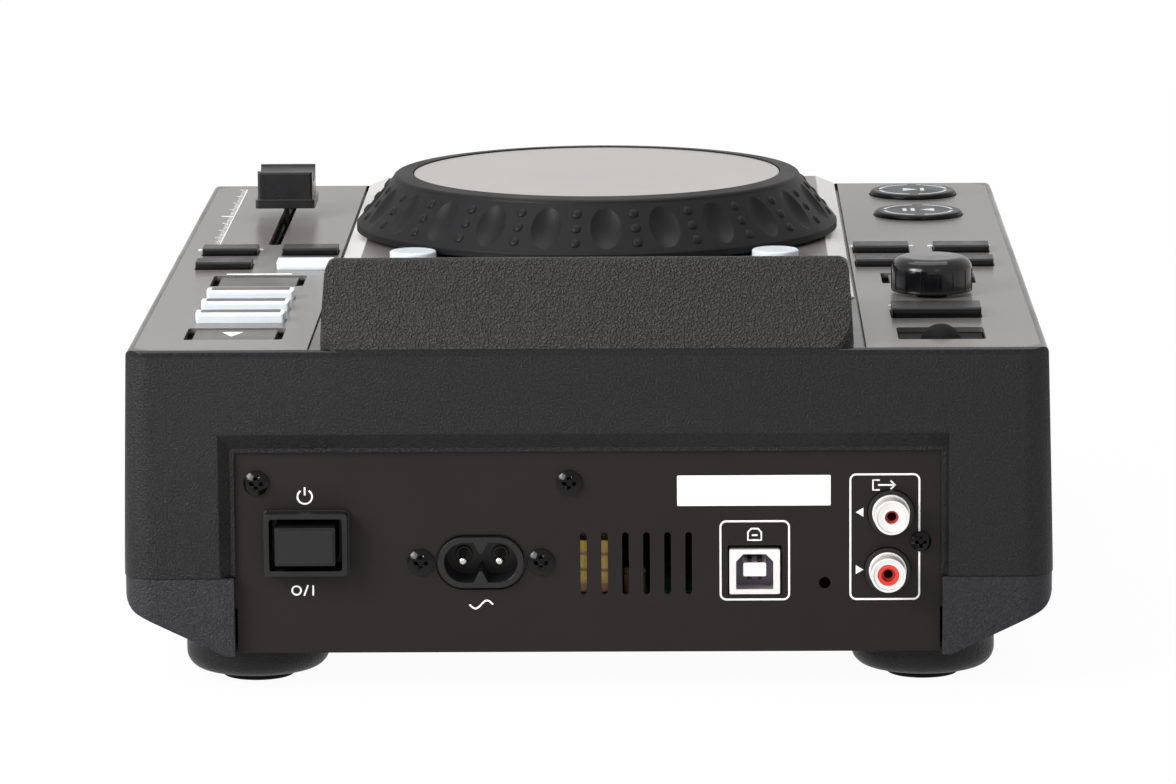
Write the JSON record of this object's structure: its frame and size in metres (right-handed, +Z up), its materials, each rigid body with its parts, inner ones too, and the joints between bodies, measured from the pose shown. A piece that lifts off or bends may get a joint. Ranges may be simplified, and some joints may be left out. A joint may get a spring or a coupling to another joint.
{
  "type": "disc player",
  "caption": "Compact tabletop disc player with a raised jog wheel, display housing, pitch fader, browse knob and a sunk rear socket panel.",
  "frame": {"origin": "on the table, under the middle of the body", "axes": "+Z up, -Y towards the user, +Y out of the rear socket panel, +X to the side of the pitch fader"},
  "size_m": [0.223, 0.2903, 0.1041],
  "materials": {
    "shell_plastic": "fine leather grain, satin black",
    "foot_rubber": "matt",
    "panel_steel": "matt black paint",
    "control_plate": "satin dark grey",
    "jog_plate": "satin grey",
    "display_glass": "clear gloss over dark",
    "circuit_board": "green lacquer",
    "board_parts": "mixed moulded parts",
    "transformer_tape": "yellow polyester tape",
    "black_screw": "black zinc",
    "black_plastic": "moulded satin black",
    "bright_metal": "bright plated",
    "white_insert": "moulded white",
    "red_insert": "moulded red",
    "drive_steel": "zinc plated sheet",
    "sled_resin": "moulded resin",
    "jog_plastic": "satin black",
    "jog_disc_silver": "fine spun silver",
    "knob_black": "satin black",
    "button_black": "smoked translucent black",
    "sunk_button_grey": "satin grey",
    "button_white": "translucent white"
  },
  "bodies": {
    "body": {"upper_shell": "shell_plastic", "lower_shell": "shell_plastic", "foot_pads": "foot_rubber", "rear_panel": "panel_steel", "control_plates": "control_plate", "jog_plate": "jog_plate", "display_window": "display_glass", "circuit_boards": "circuit_board", "board_components": "board_parts", "power_transformer": "transformer_tape", "screws": "black_screw", "mains_inlet": "black_plastic", "inlet_pins": "bright_metal", "switch_housing": "black_plastic", "rca_block": "black_plastic", "rca_sleeves": "bright_metal", "rca_insert_white": "white_insert", "rca_insert_red": "red_insert", "usb_b_shell": "bright_metal", "usb_b_tongue": "white_insert", "usb_a_socket": "bright_metal", "fader_body": "drive_steel", "jog_spindle": "bright_metal", "slot_bezel": "black_plastic", "drive_frame": "drive_steel"},
    "power_button": {"power_button": "black_plastic"},
    "dust_cap": {"usb_dust_cap": "black_plastic"},
    "fader": {"fader_lever": "black_plastic", "fader_cap": "knob_black"},
    "encoder_plunger": {"encoder_plunger": "bright_metal"},
    "browse_knob": {"browse_knob": "knob_black"},
    "jog_wheel": {"jog_rim": "jog_plastic", "jog_disc": "jog_disc_silver", "jog_hub": "jog_plastic"},
    "traverse": {"traverse": "drive_steel", "spindle_motor": "drive_steel", "guide_rods": "bright_metal"},
    "disc_hub": {"disc_hub": "black_plastic"},
    "pickup": {"pickup_sled": "sled_resin"},
    "lead_screw": {"lead_screw": "bright_metal"},
    "feed_roller": {"feed_roller": "foot_rubber"},
    "right_bar_front_outer": {"right_bar_front_outer": "button_black"},
    "right_bar_front_inner": {"right_bar_front_inner": "button_black"},
    "right_bar_rear_outer": {"right_bar_rear_outer": "button_black"},
    "right_bar_rear_inner": {"right_bar_rear_inner": "button_white"},
    "left_bar_front_outer": {"left_bar_front_outer": "button_black"},
    "left_bar_front_inner": {"left_bar_front_inner": "button_black"},
    "left_bar_rear_outer": {"left_bar_rear_outer": "button_black"},
    "left_bar_rear_inner": {"left_bar_rear_inner": "button_black"},
    "mode_key_front": {"mode_key_front": "button_white"},
    "mode_key_middle": {"mode_key_middle": "button_white"},
    "mode_key_rear": {"mode_key_rear": "button_white"},
    "right_sunk_button": {"right_sunk_button": "sunk_button_grey"},
    "eject_button": {"eject_button": "sunk_button_grey"},
    "left_sunk_button": {"left_sunk_button": "sunk_button_grey"},
    "cue_button": {"cue_button": "button_black"},
    "play_button": {"play_button": "button_black"},
    "back_button": {"back_button": "button_black"},
    "right_pad_button": {"right_pad_button": "button_white"},
    "left_pad_button": {"left_pad_button": "button_white"}
  },
  "joints": [
    {"name": "right_bar_front_outer_press", "type": "slide", "parent": "body", "child": "right_bar_front_outer", "axis": [0, 0, -1], "range_m": [0, 0.0008], "stiffness_N_per_m": 400, "springref_m": -0.0012},
    {"name": "right_bar_front_inner_press", "type": "slide", "parent": "body", "child": "right_bar_front_inner", "axis": [0, 0, -1], "range_m": [0, 0.0008], "stiffness_N_per_m": 400, "springref_m": -0.0012},
    {"name": "right_bar_rear_outer_press", "type": "slide", "parent": "body", "child": "right_bar_rear_outer", "axis": [0, 0, -1], "range_m": [0, 0.0008], "stiffness_N_per_m": 400, "springref_m": -0.0012},
    {"name": "right_bar_rear_inner_press", "type": "slide", "parent": "body", "child": "right_bar_rear_inner", "axis": [0, 0, -1], "range_m": [0, 0.0008], "stiffness_N_per_m": 400, "springref_m": -0.0012},
    {"name": "left_bar_front_outer_press", "type": "slide", "parent": "body", "child": "left_bar_front_outer", "axis": [0, 0, -1], "range_m": [0, 0.0008], "stiffness_N_per_m": 400, "springref_m": -0.0012},
    {"name": "left_bar_front_inner_press", "type": "slide", "parent": "body", "child": "left_bar_front_inner", "axis": [0, 0, -1], "range_m": [0, 0.0008], "stiffness_N_per_m": 400, "springref_m": -0.0012},
    {"name": "left_bar_rear_outer_press", "type": "slide", "parent": "body", "child": "left_bar_rear_outer", "axis": [0, 0, -1], "range_m": [0, 0.0008], "stiffness_N_per_m": 400, "springref_m": -0.0012},
    {"name": "left_bar_rear_inner_press", "type": "slide", "parent": "body", "child": "left_bar_rear_inner", "axis": [0, 0, -1], "range_m": [0, 0.0008], "stiffness_N_per_m": 400, "springref_m": -0.0012},
    {"name": "mode_key_front_press", "type": "slide", "parent": "body", "child": "mode_key_front", "axis": [0, 0, -1], "range_m": [0, 0.0008], "stiffness_N_per_m": 400, "springref_m": -0.0012},
    {"name": "mode_key_middle_press", "type": "slide", "parent": "body", "child": "mode_key_middle", "axis": [0, 0, -1], "range_m": [0, 0.0008], "stiffness_N_per_m": 400, "springref_m": -0.0012},
    {"name": "mode_key_rear_press", "type": "slide", "parent": "body", "child": "mode_key_rear", "axis": [0, 0, -1], "range_m": [0, 0.0008], "stiffness_N_per_m": 400, "springref_m": -0.0012},
    {"name": "right_sunk_button_press", "type": "slide", "parent": "body", "child": "right_sunk_button", "axis": [0, 0, -1], "range_m": [0, 0.0008], "stiffness_N_per_m": 400, "springref_m": -0.0012},
    {"name": "eject_button_press", "type": "slide", "parent": "body", "child": "eject_button", "axis": [0, 0, -1], "range_m": [0, 0.0008], "stiffness_N_per_m": 400, "springref_m": -0.0012},
    {"name": "left_sunk_button_press", "type": "slide", "parent": "body", "child": "left_sunk_button", "axis": [0, 0, -1], "range_m": [0, 0.0008], "stiffness_N_per_m": 400, "springref_m": -0.0012},
    {"name": "cue_button_press", "type": "slide", "parent": "body", "child": "cue_button", "axis": [0, 0, -1], "range_m": [0, 0.0008], "stiffness_N_per_m": 400, "springref_m": -0.0012},
    {"name": "play_button_press", "type": "slide", "parent": "body", "child": "play_button", "axis": [0, 0, -1], "range_m": [0, 0.0008], "stiffness_N_per_m": 400, "springref_m": -0.0012},
    {"name": "back_button_press", "type": "slide", "parent": "body", "child": "back_button", "axis": [0, 0, -1], "range_m": [0, 0.0008], "stiffness_N_per_m": 400, "springref_m": -0.0012},
    {"name": "right_pad_button_press", "type": "slide", "parent": "body", "child": "right_pad_button", "axis": [0, 0, -1], "range_m": [0, 0.0008], "stiffness_N_per_m": 400, "springref_m": -0.0012},
    {"name": "left_pad_button_press", "type": "slide", "parent": "body", "child": "left_pad_button", "axis": [0, 0, -1], "range_m": [0, 0.0008], "stiffness_N_per_m": 400, "springref_m": -0.0012},
    {"name": "power_button_press", "type": "slide", "parent": "body", "child": "power_button", "axis": [0, -1, 0], "range_m": [0, 0.0035], "stiffness_N_per_m": 300, "springref_m": -0.002},
    {"name": "dust_cap_lift", "type": "slide", "parent": "body", "child": "dust_cap", "axis": [0, 0, 1], "range_m": [0, 0.02]},
    {"name": "fader_slide", "type": "slide", "parent": "body", "child": "fader", "axis": [0, 1, 0], "range_m": [-0.05, 0.05]},
    {"name": "knob_press", "type": "slide", "parent": "body", "child": "encoder_plunger", "axis": [0, 0, -1], "range_m": [0, 0.0006], "stiffness_N_per_m": 1200, "springref_m": -0.0012},
    {"name": "knob_turn", "type": "hinge", "parent": "encoder_plunger", "child": "browse_knob", "pos_m": [-0.0854, 0.058, 0.0838], "axis": [0, 0, 1], "continuous": true},
    {"name": "jog_turn", "type": "hinge", "parent": "body", "child": "jog_wheel", "pos_m": [0, -0.04, 0.0838], "axis": [0, 0, 1], "continuous": true},
    {"name": "traverse_lift", "type": "slide", "parent": "body", "child": "traverse", "axis": [0, 0, 1], "range_m": [0, 0.0036]},
    {"name": "hub_spin", "type": "hinge", "parent": "traverse", "child": "disc_hub", "pos_m": [0, -0.0625, 0.0463], "axis": [0, 0, 1], "continuous": true},
    {"name": "pickup_slide", "type": "slide", "parent": "traverse", "child": "pickup", "axis": [0, 1, 0], "range_m": [0, 0.034]},
    {"name": "lead_screw_turn", "type": "hinge", "parent": "traverse", "child": "lead_screw", "pos_m": [0.0245, -0.0775, 0.0363], "axis": [0, 1, 0], "range_deg": [0, 4200]},
    {"name": "roller_turn", "type": "hinge", "parent": "body", "child": "feed_roller", "pos_m": [0, -0.1305, 0.0461], "axis": [1, 0, 0], "continuous": true}
  ],
  "couplings": [
    {"joint": "lead_screw_turn", "follows": "pickup_slide", "rad_per_m": 2094.4}
  ]
}
